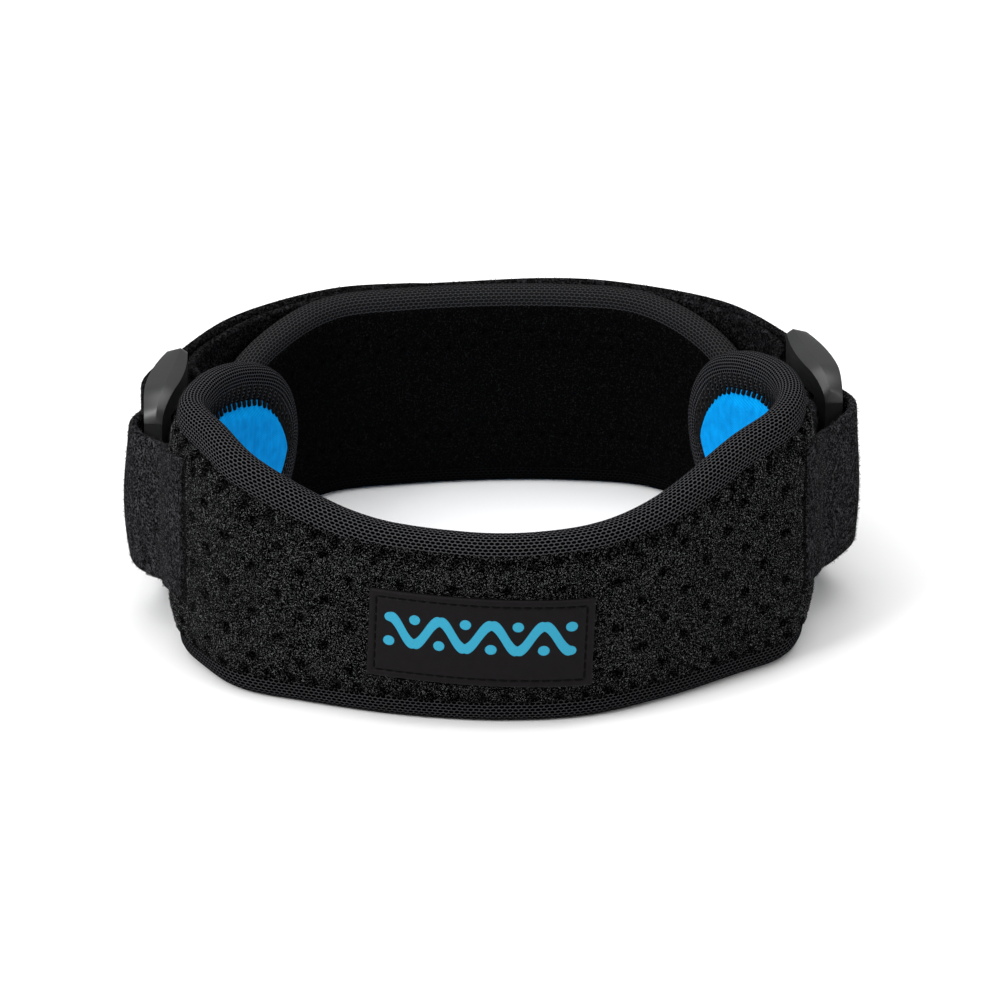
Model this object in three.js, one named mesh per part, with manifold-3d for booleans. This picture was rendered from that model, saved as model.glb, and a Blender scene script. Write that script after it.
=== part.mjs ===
// Patella strap: a padded front band and a padded back band, bound round their edges with mesh tape,
// joined at both sides by webbing straps that loop through two rectangular plastic buckles.
// The strap stands on its lower edge. +X is the wearer's left to right as seen from the front,
// +Y runs from the front pad to the back pad, and +Z is up. Lengths are in millimetres.

import * as THREE from 'three';
import { mergeVertices } from 'three/addons/utils/BufferGeometryUtils.js';
import Module from 'manifold-3d';

const wasm = await Module();
wasm.setup();

// Overall plan
const frontPadWidth = 105.4;
const backPadWidth = 99;
const ringDepth = 108;

// Heights of the two pads
const frontLobeHeight = 48;
const backPadHeight = 38;
const frontLobeRounding = 45;
const frontLowerRounding = 62;
const backLobeRounding = 27;

// Edge binding
const bindingWidth = 5.8;
const bindingThickness = 5.2;
const tapeThickness = 0.9;
const foldRounding = 1.5;

// Padding and lining
const frontPuff = 1.9;
const frontInnerPuff = 0.2;
const backPuff = 1.1;
const backInnerPuff = 0.9;
const puffReach = 6;
const liningThickness = 1;
const liningEdgeThickness = 0.6;

// Label patch on the front pad
const labelLength = 36.6;
const labelHeight = 16.3;
const labelThickness = 0.9;
const labelCentreHeight = 16.6;
const labelTilt = 2.2;
const labelShift = -3.4;

// Webbing
const strapWidth = 26.4;
const strapThickness = 1.6;
const strapCrown = 1.2;
const strapLift = 9.7;
const sewnRun = 5;
const backStrapReach = 0.92;

// Buckles
const buckleLength = 25;
const buckleEndThickness = 3.2;
const buckleMiddleThickness = 6;
const buckleRail = 4.5;
const buckleBar = 4.6;
const buckleChamfer = 0.7;

// Clearances
const clearance = 0.3;
const slotClearance = 0.4;
const loopClearance = 0.35;
const layerGap = 0.45;
const labelClearance = 0.45;

// Counts of facets
const endColumns = 8;
const frontColumns = 21;
const backColumns = 15;
const sheetRows = 2;
const labelColumns = 12;
const sideStrapSteps = 34;
const backStrapSteps = 56;

const halfBinding = bindingThickness / 2;
const pocketHalf = halfBinding - tapeThickness;
const tongueHalf = pocketHalf - clearance;
const tongueInset = tapeThickness + clearance;
const strapTop = strapLift + strapWidth;

// Plan line of the front pad, from its left end round the front to its right end.
// across is a share of half the pad's width, back is a share of the ring's depth.
const frontPlan = [
  { across: -0.7, back: 0.695 },
  { across: -0.79, back: 0.57 },
  { across: -0.89, back: 0.47 },
  { across: -0.965, back: 0.375 },
  { across: -1, back: 0.275 },
  { across: -0.925, back: 0.193 },
  { across: -0.82, back: 0.122 },
  { across: -0.6, back: 0.072 },
  { across: -0.3, back: 0.022 },
  { across: 0.03, back: 0 },
  { across: 0.3, back: 0.018 },
  { across: 0.55, back: 0.085 },
  { across: 0.8, back: 0.182 },
  { across: 0.945, back: 0.245 },
  { across: 0.995, back: 0.33 },
  { across: 0.965, back: 0.43 },
  { across: 0.88, back: 0.53 },
  { across: 0.79, back: 0.63 },
  { across: 0.7, back: 0.745 },
];

// Plan line of the back pad, from its left end round the back to its right end.
const backPlan = [
  { across: -0.985, back: 0.66 },
  { across: -0.94, back: 0.755 },
  { across: -0.81, back: 0.85 },
  { across: -0.6, back: 0.945 },
  { across: -0.34, back: 0.98 },
  { across: 0, back: 1 },
  { across: 0.3, back: 0.997 },
  { across: 0.56, back: 0.972 },
  { across: 0.77, back: 0.895 },
  { across: 0.9, back: 0.81 },
  { across: 0.962, back: 0.728 },
];

// Upper edge of the front pad: the knee-cap notch and the rise to the lobes.
// along is a share of half the pad's length, high is a share of the lobe's height.
const notchProfile = [
  { along: 0, high: 0.722 },
  { along: 0.15, high: 0.738 },
  { along: 0.22, high: 0.757 },
  { along: 0.28, high: 0.8 },
  { along: 0.34, high: 0.86 },
  { along: 0.4, high: 0.925 },
  { along: 0.46, high: 0.975 },
  { along: 0.54, high: 1 },
  { along: 1, high: 1 },
];

// Swell of a pad's faces, by the share of its reach in from the binding.
const puffProfile = [
  { reach: 1 / 3, swell: 0.75 },
  { reach: 1, swell: 1 },
];

// The binding's outer face round its fold. in is a share of the fold's rounding, and out a share
// of half the binding's thickness.
const foldProfile = [
  { in: 1, out: 1 },
  { in: 0.25, out: 0.72 },
  { in: 0, out: 0.34 },
];

// The side strap's outer layer from the front pad to the buckle's front bar. back is a share of
// the bar's depth in front of its middle, and out a share of the layer's place outside the bar.
const sideStrapPlan = [
  { back: 1, out: 0.62 },
  { back: 0, out: 1.1 },
];

// Swell of that layer, by its share of the whole strap's length.
const crownProfile = [
  { along: 0, swell: 0 },
  { along: 0.1, swell: 1 },
  { along: 0.26, swell: 1 },
  { along: 0.36, swell: 0 },
];

// Shares of the webbing's width at which the swollen layer has more points.
const crownHeights = [0.25, 0.5, 0.75];

// The back strap's inner layer along the back pad. along is a share of its reach on the pad, and
// bow the share of its bow that it has there.
const innerLayerPlan = [
  { along: 0.14, bow: 0.07 },
  { along: 0.4, bow: 0.2 },
  { along: 0.7, bow: 0.35 },
  { along: 1, bow: 0.5 },
];

// The back strap's outer layer, from the buckle back towards the centre. raised is the share of
// its lift that it has there.
const outerLayerPlan = [
  { along: 1, bow: 1, raised: 0 },
  { along: 0.7, bow: 0.7, raised: 0 },
  { along: 0.4, bow: 0.4, raised: 0 },
  { along: 0.2, bow: 0.2, raised: 0.6 },
];

// The two sides. hand is the sign of X, across a share of half the front pad's width, back a share
// of the ring's depth, and turn the buckle's lean from the Y axis in degrees. root is where the side
// strap meets the front pad, as a share of half that pad's length from its centre. bulge is how far
// the back strap's loop stands off the buckle's rear bar, and bow how far that strap stands off the
// back pad beside the buckle, both as shares of the webbing's thickness. lap is how far the strap's
// free end passes the back pad's centre, as a share of the webbing's width, and lift how far it is
// raised there by the other strap's end, in layers of webbing.
const sides = [
  {
    name: 'left',
    hand: -1,
    across: 1.105,
    back: 0.538,
    turn: 9,
    root: 0.628,
    bulge: 0.9,
    bow: 1.9,
    lap: -0.28,
    lift: 0,
  },
  {
    name: 'right',
    hand: 1,
    across: 1.09,
    back: 0.625,
    turn: 15,
    root: 0.628,
    bulge: 0.2,
    bow: 1.3,
    lap: 0.2,
    lift: 0.3,
  },
];

// Finishes
const pile = new THREE.MeshStandardMaterial({ color: 0x121214, roughness: 0.85, metalness: 0 });
const meshTape = new THREE.MeshStandardMaterial({ color: 0x17171a, roughness: 0.75, metalness: 0 });
const blueKnit = new THREE.MeshStandardMaterial({ color: 0x0a8fe0, roughness: 0.8, metalness: 0 });
const webbing = new THREE.MeshStandardMaterial({ color: 0x16161a, roughness: 0.9, metalness: 0 });
const wovenLabel = new THREE.MeshStandardMaterial({ color: 0x101012, roughness: 0.5, metalness: 0 });
const moulded = new THREE.MeshStandardMaterial({ color: 0x3a3d3e, roughness: 0.42, metalness: 0 });

const object = new THREE.Group();

function addPiece(name, geometry, material) {
  const piece = new THREE.Mesh(geometry, material);
  piece.name = name;
  object.add(piece);
}

// Value of a table's column at a share along it, by straight lines between its rows.
function fromTable(rows, key, column, share) {
  let row = 1;
  while (row < rows.length - 1 && rows[row][key] < share) row += 1;
  const low = rows[row - 1];
  const high = rows[row];
  const part = THREE.MathUtils.clamp((share - low[key]) / (high[key] - low[key]), 0, 1);
  return low[column] + (high[column] - low[column]) * part;
}

// A smooth line in plan through points. outward is 1 where the ring's outside lies to the right
// of the direction of travel, and -1 where it lies to the left.
function planLine(points, outward) {
  const curve = new THREE.CatmullRomCurve3(points, false, 'centripetal');
  curve.arcLengthDivisions = 40 * points.length;
  const length = curve.getLength();
  function at(run) {
    const share = THREE.MathUtils.clamp(run / length, 0, 1);
    const point = curve.getPointAt(share);
    const tangent = curve.getTangentAt(share);
    const normal = new THREE.Vector3(tangent.y, -tangent.x, 0).multiplyScalar(outward);
    return { point, normal };
  }
  // The place at a run along the line, a height, and a distance out from the line.
  function place(run, height, out) {
    const { point, normal } = at(run);
    return new THREE.Vector3(point.x + normal.x * out, point.y + normal.y * out, height);
  }
  return { length, place };
}

function planPoints(rows, width) {
  return rows.map((row) => new THREE.Vector3((row.across * width) / 2, (row.back - 0.5) * ringDepth, 0));
}

const frontLine = planLine(planPoints(frontPlan, frontPadWidth), 1);
const backLine = planLine(planPoints(backPlan, backPadWidth), -1);

// Share of its full height that a rounded lobe has, at a share of its length from the end.
function fullness(share) {
  return Math.sqrt(Math.max(0, 1 - (1 - Math.min(share, 1)) ** 2));
}

// The upper and lower edges of a pad at matching columns, as points (run, height) on its
// developed surface, with rounded lobes at both ends.
function padEdges(line, height, rounding, lowerRounding, columns, highShare) {
  const runs = [];
  for (let step = 0; step < endColumns; step += 1) {
    runs.push(rounding * (1 - Math.cos(((Math.PI / 2) * step) / endColumns)));
  }
  const flatRun = line.length - 2 * rounding;
  for (let step = 0; step <= columns; step += 1) {
    runs.push(rounding + (flatRun * step) / columns);
  }
  for (let step = endColumns - 1; step >= 0; step -= 1) {
    runs.push(line.length - runs[step]);
  }
  const middle = height / 2;
  const upper = [];
  const lower = [];
  for (const run of runs) {
    const fromEnd = Math.min(run, line.length - run);
    const along = Math.abs(run - line.length / 2) / (line.length / 2);
    const top = height * highShare(along);
    upper.push(new THREE.Vector2(run, middle + (top - middle) * fullness(fromEnd / rounding)));
    lower.push(new THREE.Vector2(run, middle - middle * fullness(fromEnd / lowerRounding)));
  }
  return { upper, lower };
}

// The closed outline round a pad: its points, and at each the direction into the pad.
function outlineOf(edges) {
  const loop = [...edges.upper, ...edges.lower.slice(1, -1).reverse()];
  const inward = loop.map((point, index) => {
    const before = loop[(index + loop.length - 1) % loop.length];
    const after = loop[(index + 1) % loop.length];
    const along = new THREE.Vector2().subVectors(after, before).normalize();
    return new THREE.Vector2(along.y, -along.x);
  });
  return { loop, inward };
}

function insetPoint(outline, index, inset) {
  return outline.loop[index].clone().addScaledVector(outline.inward[index], inset);
}

// One closed body from a grid of points. Rings of the grid are closed, and where capped is true
// its first and last rings are covered. Triangles that have shrunk to a line are left out.
function closedBody(rings, capped, closedAlong) {
  const positions = [];
  for (const ring of rings) {
    for (const point of ring) positions.push(point.x, point.y, point.z);
  }
  const around = rings[0].length;
  const faces = [];
  const spans = closedAlong ? rings.length : rings.length - 1;
  for (let span = 0; span < spans; span += 1) {
    const here = span * around;
    const there = ((span + 1) % rings.length) * around;
    for (let step = 0; step < around; step += 1) {
      const next = (step + 1) % around;
      faces.push([here + step, there + step, there + next]);
      faces.push([here + step, there + next, here + next]);
    }
  }
  if (capped) {
    const last = (rings.length - 1) * around;
    for (let step = 1; step < around - 1; step += 1) {
      faces.push([0, step, step + 1]);
      faces.push([last, last + step + 1, last + step]);
    }
  }
  return bodyFromFaces(positions, faces);
}

function bodyFromFaces(positions, faces) {
  const loose = new THREE.BufferGeometry();
  loose.setAttribute('position', new THREE.Float32BufferAttribute(positions, 3));
  loose.setIndex(faces.flat());
  const merged = mergeVertices(loose, 1e-3);
  const index = merged.getIndex();
  const kept = [];
  for (let corner = 0; corner < index.count; corner += 3) {
    const [a, b, c] = [index.getX(corner), index.getX(corner + 1), index.getX(corner + 2)];
    if (a !== b && b !== c && c !== a) kept.push(a, b, c);
  }
  merged.setIndex(kept);
  return outwardFacing(merged);
}

// Turns a body's faces so that they point outward.
function outwardFacing(geometry) {
  const index = geometry.getIndex();
  const position = geometry.getAttribute('position');
  const corners = [new THREE.Vector3(), new THREE.Vector3(), new THREE.Vector3()];
  let volume = 0;
  for (let corner = 0; corner < index.count; corner += 3) {
    corners.forEach((spot, step) => spot.fromBufferAttribute(position, index.getX(corner + step)));
    volume += corners[0].dot(corners[1].clone().cross(corners[2]));
  }
  if (volume < 0) {
    const turned = [];
    for (let corner = 0; corner < index.count; corner += 3) {
      turned.push(index.getX(corner), index.getX(corner + 2), index.getX(corner + 1));
    }
    geometry.setIndex(turned);
  }
  geometry.computeVertexNormals();
  return geometry;
}

// A padded sheet on a pad's developed surface. Each row gives how far in from the edge it lies
// and how far the outer and inner faces stand off the plan line there.
function paddedSheet(line, edges, rows) {
  const outline = outlineOf(edges);
  const last = edges.upper.length - 1;
  const innermost = rows[rows.length - 1];
  const rings = edges.upper.map((unused, column) => {
    const lowerIndex = column === 0 || column === last ? column : outline.loop.length - column;
    const ends = { top: [], bottom: [] };
    for (const row of rows) {
      ends.top.push({ at: insetPoint(outline, column, row.inset), row });
      ends.bottom.push({ at: insetPoint(outline, lowerIndex, row.inset), row });
    }
    const upperEnd = ends.top[ends.top.length - 1].at;
    const lowerEnd = ends.bottom[ends.bottom.length - 1].at;
    const across = [...ends.top];
    for (let step = 1; step < sheetRows; step += 1) {
      across.push({ at: upperEnd.clone().lerp(lowerEnd, step / sheetRows), row: innermost });
    }
    across.push(...ends.bottom.reverse());
    const outer = across.map((entry) => line.place(entry.at.x, entry.at.y, entry.row.outer));
    const inner = across.map((entry) => line.place(entry.at.x, entry.at.y, entry.row.inner));
    return [...outer, ...inner.reverse()];
  });
  return closedBody(rings, false, false);
}

// Rows of a padded band: a thin tongue inside the binding's pocket, then a shoulder at the
// binding's lip, and the puffed body beyond it.
function paddingRows(outerPuff, innerPuff) {
  const shoulder = bindingWidth + clearance;
  return [
    { inset: tongueInset, outer: tongueHalf, inner: -tongueHalf },
    { inset: shoulder, outer: tongueHalf, inner: -tongueHalf },
    { inset: shoulder + clearance, outer: halfBinding, inner: -halfBinding },
    ...puffProfile.map((row) => ({
      inset: shoulder + puffReach * row.reach,
      outer: halfBinding + outerPuff * row.swell,
      inner: -halfBinding - innerPuff * row.swell,
    })),
  ];
}

// Height of the front pad's outer face off its plan line, at a distance in from the edge.
function frontFaceAt(inset) {
  return fromTable(paddingRows(frontPuff, frontInnerPuff), 'inset', 'outer', inset);
}

// Mesh tape folded round the edge of a pad, in one loop.
function edgeBinding(line, edges) {
  const outline = outlineOf(edges);
  const fold = foldProfile.map((row) => ({ inset: foldRounding * row.in, out: halfBinding * row.out }));
  const section = [
    { inset: bindingWidth, out: halfBinding },
    ...fold,
    ...fold.map((corner) => ({ inset: corner.inset, out: -corner.out })).reverse(),
    { inset: bindingWidth, out: -halfBinding },
    { inset: bindingWidth, out: -pocketHalf },
    { inset: tapeThickness, out: -pocketHalf },
    { inset: tapeThickness, out: pocketHalf },
    { inset: bindingWidth, out: pocketHalf },
  ];
  const rings = outline.loop.map((unused, index) =>
    section.map((corner) => {
      const spot = insetPoint(outline, index, corner.inset);
      return line.place(spot.x, spot.y, corner.out);
    }),
  );
  return closedBody(rings, false, true);
}

function notchAt(along) {
  return fromTable(notchProfile, 'along', 'high', along);
}

const frontEdges = padEdges(
  frontLine,
  frontLobeHeight,
  frontLobeRounding,
  frontLowerRounding,
  frontColumns,
  notchAt,
);
const backEdges = padEdges(
  backLine,
  backPadHeight,
  backLobeRounding,
  backLobeRounding,
  backColumns,
  () => 1,
);

// The blue knit lining inside the front pad, within the window that the binding leaves.
function liningRows() {
  const near = -halfBinding - clearance;
  const deep = near - frontInnerPuff;
  const edge = bindingWidth + 2 * clearance;
  return [
    { inset: edge, outer: near, inner: near - liningEdgeThickness },
    { inset: edge + puffReach / 3, outer: deep, inner: deep - liningThickness },
    { inset: edge + puffReach, outer: deep, inner: deep - liningThickness },
  ];
}

// The label patch, bent with the front pad's outer face and turned a little on it.
function labelPatch() {
  const middleRun = frontLine.length / 2 + labelShift;
  const tilt = THREE.MathUtils.degToRad(labelTilt);
  const rings = [];
  for (let step = 0; step <= labelColumns; step += 1) {
    const along = labelLength * (step / labelColumns - 0.5);
    const outer = [];
    const inner = [];
    for (const up of [0.5, 0.25, 0, -0.25, -0.5]) {
      const run = middleRun + along * Math.cos(tilt) + up * labelHeight * Math.sin(tilt);
      const height = labelCentreHeight - along * Math.sin(tilt) + up * labelHeight * Math.cos(tilt);
      const share = (2 * Math.abs(run - frontLine.length / 2)) / frontLine.length;
      const top = frontLobeHeight * notchAt(share);
      const seat = frontFaceAt(Math.min(height, top - height)) + labelClearance;
      outer.push(frontLine.place(run, height, seat + labelThickness));
      inner.push(frontLine.place(run, height, seat));
    }
    rings.push([...outer, ...inner.reverse()]);
  }
  return closedBody(rings, true, false);
}

// Webbing swept along a plan line, with rounded edges. crown gives its outward swell by run, and
// betweenEdges the shares of its width at which the section has more points.
function webbingBand(line, crown, betweenEdges, steps) {
  const half = strapThickness / 2;
  const edge = strapThickness / 4 / strapWidth;
  const heights = [edge, ...betweenEdges, 1 - edge];
  const rings = [];
  for (let step = 0; step <= steps; step += 1) {
    const run = (line.length * step) / steps;
    const swell = crown(run / line.length);
    const outer = heights.map((share) => ({
      height: strapLift + strapWidth * share,
      out: half + swell * Math.sin(Math.PI * share),
    }));
    const inner = outer.map((corner) => ({ height: corner.height, out: corner.out - strapThickness }));
    const section = [
      { height: strapLift, out: 0 },
      ...outer,
      { height: strapTop, out: 0 },
      ...inner.reverse(),
    ];
    rings.push(section.map((corner) => line.place(run, corner.height, corner.out)));
  }
  return closedBody(rings, true, false);
}

// Plan place in a buckle's own frame: back along its length, and out from its middle line.
function buckleSpot(side, back, out) {
  const turn = THREE.MathUtils.degToRad(side.turn);
  const centreX = (side.hand * side.across * frontPadWidth) / 2;
  const centreY = (side.back - 0.5) * ringDepth;
  const x = centreX + side.hand * (out * Math.cos(turn) - back * Math.sin(turn));
  const y = centreY + back * Math.cos(turn) + out * Math.sin(turn);
  return new THREE.Vector3(x, y, 0);
}

// Half the buckle's thickness at a distance along it from its middle.
function crescentHalf(back) {
  const share = 0.5 + back / buckleLength;
  const swell = buckleMiddleThickness - buckleEndThickness;
  return buckleEndThickness / 2 + 2 * swell * share * (1 - share);
}

const barMiddle = (buckleLength - buckleBar) / 2;
const layerOut = crescentHalf(barMiddle - buckleBar / 2) + loopClearance + strapThickness / 2;
const turnBack = barMiddle - buckleBar / 2 - loopClearance - strapThickness / 2;

// Side strap: from the front pad's outer face, round the buckle's front bar and back to the pad.
function sideStrapLine(side) {
  const halfLength = frontLine.length / 2;
  const seat = halfBinding + frontPuff + clearance + strapThickness / 2;
  const rootRun = halfLength + side.hand * side.root * halfLength;
  const root = frontLine.place(rootRun, 0, seat);
  const innerEnd = frontLine.place(rootRun + side.hand * sewnRun, 0, seat);
  return planLine(
    [
      root,
      ...sideStrapPlan.map((row) => buckleSpot(side, -barMiddle - buckleBar * row.back, layerOut * row.out)),
      buckleSpot(side, -turnBack, layerOut),
      ...turnSpots(side, -1, layerOut),
      buckleSpot(side, -turnBack, -layerOut),
      buckleSpot(side, -barMiddle, -layerOut),
      innerEnd,
    ],
    side.hand,
  );
}

// Three plan places of a strap's turn round a bar, out to in. end is -1 at the front, 1 behind.
function turnSpots(side, end, outward) {
  return [45, 90, 135].map((degrees) => {
    const angle = THREE.MathUtils.degToRad(degrees);
    const back = end * (turnBack - layerOut * Math.sin(angle));
    return buckleSpot(side, back, Math.cos(angle) * (degrees < 90 ? outward : layerOut));
  });
}

// Back strap: sewn on the back pad near its centre, along its outer face, round the buckle's rear
// bar and back outside itself, fastened to its own outer face.
function backStrapLine(side) {
  const halfLength = backLine.length / 2;
  const layer = strapThickness + layerGap;
  const seat = halfBinding + backPuff + clearance + strapThickness / 2;
  const onPad = (run, level) => backLine.place(halfLength + side.hand * run, 0, seat + level * layer);
  const reach = halfLength * backStrapReach;
  const bow = (side.bow * strapThickness) / layer;
  const outermost = layerOut + side.bulge * strapThickness;
  return planLine(
    [
      ...innerLayerPlan.map((row) => onPad(reach * row.along, bow * row.bow)),
      buckleSpot(side, barMiddle + buckleBar / 2, -layerOut),
      buckleSpot(side, turnBack, -layerOut),
      ...turnSpots(side, 1, outermost).reverse(),
      buckleSpot(side, turnBack, outermost),
      buckleSpot(side, barMiddle + buckleBar / 2, outermost),
      ...outerLayerPlan.map((row) => onPad(reach * row.along, 1 + bow * row.bow + side.lift * row.raised)),
      onPad(-side.lap * strapWidth, 1 + side.lift),
    ],
    -side.hand,
  );
}

// Swell of the side strap's outer layer between its root and the buckle.
function sideCrown(share) {
  return strapCrown * fromTable(crownProfile, 'along', 'swell', share);
}

// A closed solid for cutting and joining, from a three.js geometry.
function toSolid(geometry) {
  const bare = geometry.clone();
  bare.deleteAttribute('normal');
  bare.deleteAttribute('uv');
  const merged = mergeVertices(bare, 1e-4);
  const vertProperties = new Float32Array(merged.getAttribute('position').array);
  const triVerts = new Uint32Array(merged.getIndex().array);
  return new wasm.Manifold(new wasm.Mesh({ numProp: 3, vertProperties, triVerts }));
}

function toGeometry(solid) {
  const mesh = solid.getMesh();
  const geometry = new THREE.BufferGeometry();
  geometry.setAttribute('position', new THREE.BufferAttribute(new Float32Array(mesh.vertProperties), 3));
  geometry.setIndex(new THREE.BufferAttribute(new Uint32Array(mesh.triVerts), 1));
  geometry.computeVertexNormals();
  return geometry;
}

// Rectangular loop buckle: a crescent in plan, thick at its middle, with one window through which
// both straps pass. Its front end rounds down into the front bar.
function buckleBody(side) {
  const half = buckleLength / 2;
  const end = buckleEndThickness / 2;
  const swell = buckleMiddleThickness - buckleEndThickness;
  const plan = new THREE.Shape();
  plan.moveTo(-half, -end);
  plan.quadraticCurveTo(0, -end - swell, half, -end);
  plan.lineTo(half, end);
  plan.quadraticCurveTo(0, end + swell, -half, end);
  plan.closePath();
  const height = strapWidth + 2 * slotClearance + 2 * buckleRail;
  const body = new THREE.ExtrudeGeometry(plan, {
    depth: height - 2 * buckleChamfer,
    bevelEnabled: true,
    bevelThickness: buckleChamfer,
    bevelSize: buckleChamfer,
    bevelOffset: -buckleChamfer,
    bevelSegments: 2,
    curveSegments: 8,
  });
  body.translate(0, 0, buckleChamfer - height / 2);
  const windowLength = buckleLength - 2 * buckleBar;
  const windowHeight = strapWidth + 2 * slotClearance;
  const window = new THREE.BoxGeometry(windowLength, 4 * buckleMiddleThickness, windowHeight);
  const geometry = toGeometry(toSolid(body).subtract(toSolid(window)));
  const spot = buckleSpot(side, 0, 0);
  const turn = THREE.MathUtils.degToRad(90 + side.hand * side.turn);
  geometry.rotateZ(turn);
  geometry.translate(spot.x, spot.y, strapLift + strapWidth / 2);
  return geometry;
}

addPiece('front_pad', paddedSheet(frontLine, frontEdges, paddingRows(frontPuff, frontInnerPuff)), pile);
addPiece('front_lining', paddedSheet(frontLine, frontEdges, liningRows()), blueKnit);
addPiece('front_binding', edgeBinding(frontLine, frontEdges), meshTape);
addPiece('back_pad', paddedSheet(backLine, backEdges, paddingRows(backPuff, backInnerPuff)), pile);
addPiece('back_binding', edgeBinding(backLine, backEdges), meshTape);
addPiece('label_patch', labelPatch(), wovenLabel);
for (const side of sides) {
  addPiece(`${side.name}_buckle`, buckleBody(side), moulded);
  const sideBand = webbingBand(sideStrapLine(side), sideCrown, crownHeights, sideStrapSteps);
  addPiece(`${side.name}_side_strap`, sideBand, webbing);
  const backBand = webbingBand(backStrapLine(side), () => 0, [], backStrapSteps);
  addPiece(`${side.name}_back_strap`, backBand, webbing);
}

const bounds = new THREE.Box3().setFromObject(object);
const middle = bounds.getCenter(new THREE.Vector3());
object.position.set(-middle.x, -middle.y, -bounds.min.z);

export default object;
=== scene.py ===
import math

import bpy
import numpy as np
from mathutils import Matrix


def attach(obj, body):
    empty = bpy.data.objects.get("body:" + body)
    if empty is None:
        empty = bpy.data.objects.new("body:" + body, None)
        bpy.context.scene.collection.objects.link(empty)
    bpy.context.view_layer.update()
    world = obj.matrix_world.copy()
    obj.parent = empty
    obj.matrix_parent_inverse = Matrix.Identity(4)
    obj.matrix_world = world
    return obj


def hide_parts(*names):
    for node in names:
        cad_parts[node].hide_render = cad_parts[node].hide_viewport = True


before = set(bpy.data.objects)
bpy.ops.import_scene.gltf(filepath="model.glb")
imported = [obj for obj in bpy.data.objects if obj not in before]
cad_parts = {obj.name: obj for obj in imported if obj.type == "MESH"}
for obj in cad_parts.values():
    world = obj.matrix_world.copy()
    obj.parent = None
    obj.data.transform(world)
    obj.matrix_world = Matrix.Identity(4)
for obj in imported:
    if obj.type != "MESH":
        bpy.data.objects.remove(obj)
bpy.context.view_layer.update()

# Lengths here are in millimetres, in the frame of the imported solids, and go into meshes in metres.
MM = 0.001
MIDDLE_X = 0.0037
MIDDLE_Y = -1.3441

FRONT_WIDTH = 105.4
BACK_WIDTH = 99.0
RING_DEPTH = 108.0
FRONT_HEIGHT = 48.0
BACK_HEIGHT = 38.0
FRONT_ROUNDING = 45.0
FRONT_LOWER_ROUNDING = 62.0
BACK_ROUNDING = 44.0
BACK_LOWER_ROUNDING = 27.0

BINDING_WIDTH = 5.8
INNER_BINDING_WIDTH = 6.7
END_WIDENING = 1.5
HALF_BINDING = 2.6
TAPE = 0.7
NET_ROW = 0.6
NET_PITCH = 0.94
FRONT_PUFF = 1.9
LOWER_COVER = 1.1
BACK_PUFF = 1.1

LABEL_LENGTH = 36.6
LABEL_HEIGHT = 16.3
LABEL_CENTRE = 16.6
LABEL_TILT = math.radians(2.2)
LABEL_SHIFT = -3.4

STRAP_WIDTH = 26.4
STRAP_THICKNESS = 1.6
STRAP_CROWN = 1.2
STRAP_LIFT = 9.7
SEWN_RUN = 5.0
SEAM_SHARE = 0.532
SEAM_RISE = 3.2
RISE_RUN = 19.0
FREE_END_DROP = 0.6
BACK_REACH = 0.92
LAYER = 2.05
CLEARANCE = 0.3

BUCKLE_LENGTH = 25.0
BUCKLE_END = 3.2
BUCKLE_MIDDLE = 6.0
BUCKLE_RAIL = 4.5
BUCKLE_BAR = 4.6
BUCKLE_CORNER = 4.4
BUCKLE_SLOPE = 7.6
BUCKLE_TIP = 1.2
RIDGE_RISE = 0.75
RIDGE_PLACE = -0.3
SLOT = 0.4
BAR_MIDDLE = (BUCKLE_LENGTH - BUCKLE_BAR) / 2
TURN_BACK = BAR_MIDDLE - BUCKLE_BAR / 2 - 0.35 - STRAP_THICKNESS / 2

# Plan of the front pad from its left end to its right one: share of half its width, share of depth
FRONT_PLAN = [
    (-0.7, 0.695), (-0.79, 0.57), (-0.89, 0.47), (-0.965, 0.375), (-1, 0.275), (-0.925, 0.193),
    (-0.82, 0.122), (-0.6, 0.072), (-0.3, 0.022), (0.03, 0), (0.3, 0.018), (0.55, 0.085),
    (0.8, 0.182), (0.945, 0.245), (0.995, 0.33), (0.965, 0.43), (0.88, 0.53), (0.79, 0.63),
    (0.7, 0.745),
]
BACK_PLAN = [
    (-0.985, 0.66), (-0.94, 0.755), (-0.81, 0.85), (-0.6, 0.945), (-0.34, 0.98), (0, 1),
    (0.3, 0.997), (0.56, 0.972), (0.77, 0.895), (0.9, 0.81), (0.962, 0.728),
]
# Upper edge of the front pad: share of half its length from the middle, share of its height
NOTCH = [
    (0, 0.722), (0.15, 0.738), (0.22, 0.757), (0.28, 0.8), (0.34, 0.86), (0.4, 0.925),
    (0.46, 0.975), (0.54, 1), (1, 1),
]
INNER_LAYER = [(0.14, 0.07), (0.4, 0.2), (0.7, 0.35), (1, 0.5)]
OUTER_LAYER = [(1, 1, 0), (0.7, 0.7, 0), (0.4, 0.4, 0), (0.2, 0.2, 0.6)]
SIDES = {
    "left": dict(hand=-1, across=1.105, back=0.538, turn=9, root=0.628, bulge=0.9, bow=1.9,
                 lap=-0.28, lift=0),
    "right": dict(hand=1, across=1.09, back=0.625, turn=15, root=0.628, bulge=0.2, bow=1.3,
                  lap=0.36, lift=0.82),
}


def smooth(low, high, value):
    share = np.clip((value - low) / (high - low), 0, 1)
    return share * share * (3 - 2 * share)


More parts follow.
